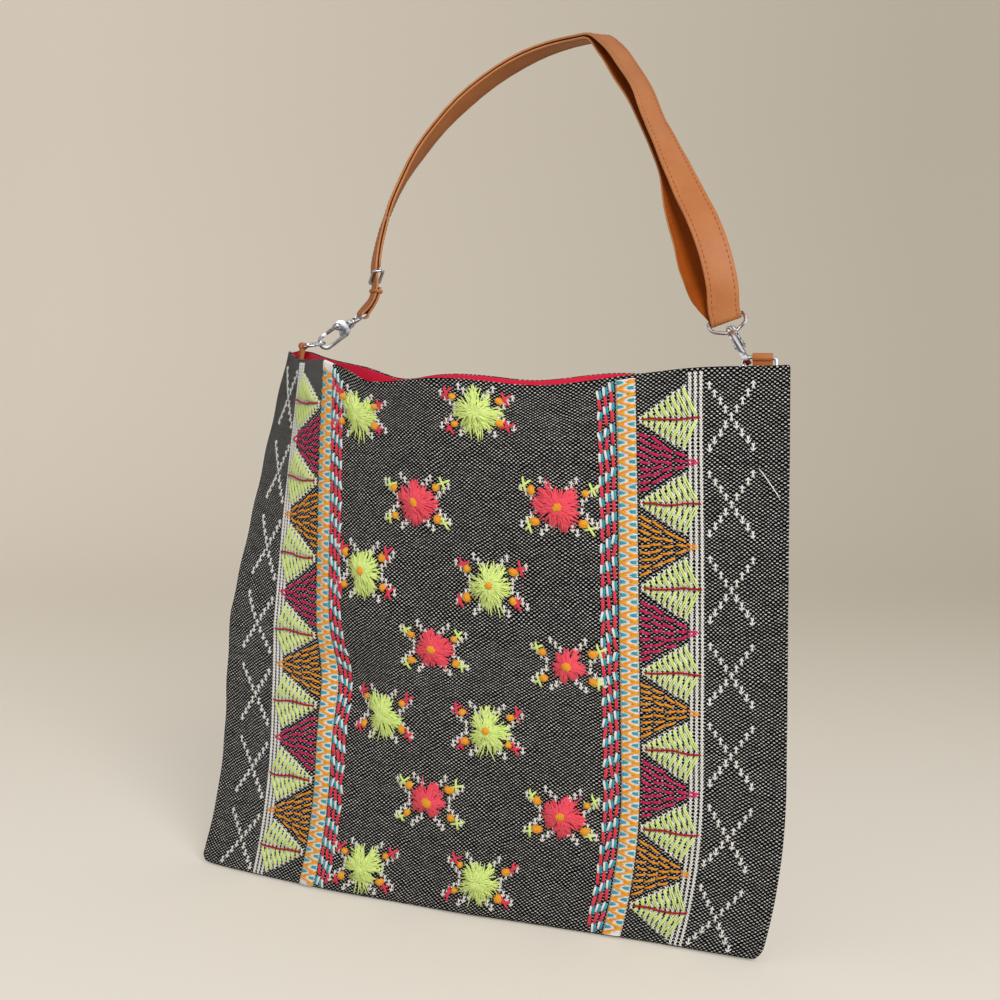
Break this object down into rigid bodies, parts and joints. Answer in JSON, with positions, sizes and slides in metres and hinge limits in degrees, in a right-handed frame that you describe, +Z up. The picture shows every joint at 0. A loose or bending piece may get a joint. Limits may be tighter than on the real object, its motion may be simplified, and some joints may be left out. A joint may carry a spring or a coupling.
{
  "type": "tote bag",
  "caption": "Flat cotton tote bag with folk embroidery, a pink lining, leather tabs with rings, and a doubled leather shoulder strap on swivel hooks.",
  "frame": {"origin": "underside of the strap where it rests on a shoulder or a hook, at the middle of its level top", "axes": "+Z up, -Y towards the embroidered front face, +X towards the side with the flat wall"},
  "size_m": [0.5623, 0.2274, 0.7545],
  "materials": {
    "woven_cotton": "coarse plain weave of black and off-white cotton",
    "lining_cotton": "smooth crimson pink cotton",
    "orange_yarn": "stitched cotton yarn",
    "coral_yarn": "stitched cotton yarn",
    "green_yarn": "stitched and tufted cotton yarn",
    "magenta_yarn": "stitched cotton yarn",
    "pink_yarn": "tufted cotton yarn",
    "tan_leather": "satin tan leather",
    "polished_steel": "polished metal"
  },
  "bodies": {
    "bag": {"back_panel": "woven_cotton", "front_panel": "woven_cotton", "green_tuft_1_1": "green_yarn", "green_tuft_1_3": "green_yarn", "green_tuft_3_1": "green_yarn", "green_tuft_3_3": "green_yarn", "green_tuft_5_1": "green_yarn", "green_tuft_5_3": "green_yarn", "green_tuft_7_1": "green_yarn", "green_tuft_7_3": "green_yarn", "left_dash_band": "coral_yarn", "left_green_triangles": "green_yarn", "left_magenta_triangle_2": "magenta_yarn", "left_magenta_triangle_4": "magenta_yarn", "left_magenta_triangle_6": "magenta_yarn", "left_orange_triangle_1": "orange_yarn", "left_orange_triangle_3": "orange_yarn", "left_orange_triangle_5": "orange_yarn", "left_tab": "tan_leather", "left_zigzag_band": "orange_yarn", "lining_back": "lining_cotton", "lining_front": "lining_cotton", "pink_tuft_2_2": "pink_yarn", "pink_tuft_2_4": "pink_yarn", "pink_tuft_4_2": "pink_yarn", "pink_tuft_4_4": "pink_yarn", "pink_tuft_6_2": "pink_yarn", "pink_tuft_6_4": "pink_yarn", "right_dash_band": "coral_yarn", "right_green_triangles": "green_yarn", "right_magenta_triangle_2": "magenta_yarn", "right_magenta_triangle_4": "magenta_yarn", "right_magenta_triangle_6": "magenta_yarn", "right_orange_triangle_1": "orange_yarn", "right_orange_triangle_3": "orange_yarn", "right_orange_triangle_5": "orange_yarn", "right_tab": "tan_leather", "right_zigzag_band": "orange_yarn", "strap": "tan_leather"},
    "left_ring": {"left_ring": "polished_steel"},
    "left_eye": {"left_swivel_eye": "polished_steel"},
    "left_hook": {"left_hook": "polished_steel", "left_gate_rivet": "polished_steel"},
    "left_gate": {"left_gate": "polished_steel"},
    "right_ring": {"right_ring": "polished_steel"},
    "right_eye": {"right_swivel_eye": "polished_steel"},
    "right_hook": {"right_hook": "polished_steel", "right_gate_rivet": "polished_steel"},
    "right_gate": {"right_gate": "polished_steel"}
  },
  "joints": [
    {"name": "left_ring_swing", "type": "hinge", "parent": "bag", "child": "left_ring", "pos_m": [-0.25352, -0.05377, -0.26646], "axis": [0.6032, -0.7976, 0], "range_deg": [-1.5, 3]},
    {"name": "left_eye_swing", "type": "hinge", "parent": "bag", "child": "left_eye", "pos_m": [-0.20862, -0.01981, -0.23768], "axis": [0.6032, -0.7976, 0], "range_deg": [-1, 1]},
    {"name": "left_hook_swivel", "type": "hinge", "parent": "left_eye", "child": "left_hook", "pos_m": [-0.23655, -0.04093, -0.26264], "axis": [0.6495, 0.4912, 0.5804], "range_deg": [-15, 15]},
    {"name": "left_gate_open", "type": "hinge", "parent": "left_hook", "child": "left_gate", "pos_m": [-0.22833, -0.03471, -0.24816], "axis": [-0.6032, 0.7976, 0], "range_deg": [-28, 0], "stiffness_Nm_per_rad": 0.01},
    {"name": "right_ring_swing", "type": "hinge", "parent": "bag", "child": "right_ring", "pos_m": [0.19784, -0.1631, -0.26631], "axis": [0.9966, 0.0824, 0], "range_deg": [-1.5, 1.5]},
    {"name": "right_eye_swing", "type": "hinge", "parent": "bag", "child": "right_eye", "pos_m": [0.16432, -0.13919, -0.23722], "axis": [0.8625, 0.3766, 0.3381], "range_deg": [-0.5, 1]},
    {"name": "right_hook_swivel", "type": "hinge", "parent": "right_eye", "child": "right_hook", "pos_m": [0.18593, -0.16311, -0.26568], "axis": [-0.5024, 0.5563, 0.662], "range_deg": [-12, 8]},
    {"name": "right_gate_open", "type": "hinge", "parent": "right_hook", "child": "right_gate", "pos_m": [0.1785, -0.14904, -0.25776], "axis": [0.8467, 0.1615, 0.5069], "range_deg": [-28, 0], "stiffness_Nm_per_rad": 0.01}
  ]
}
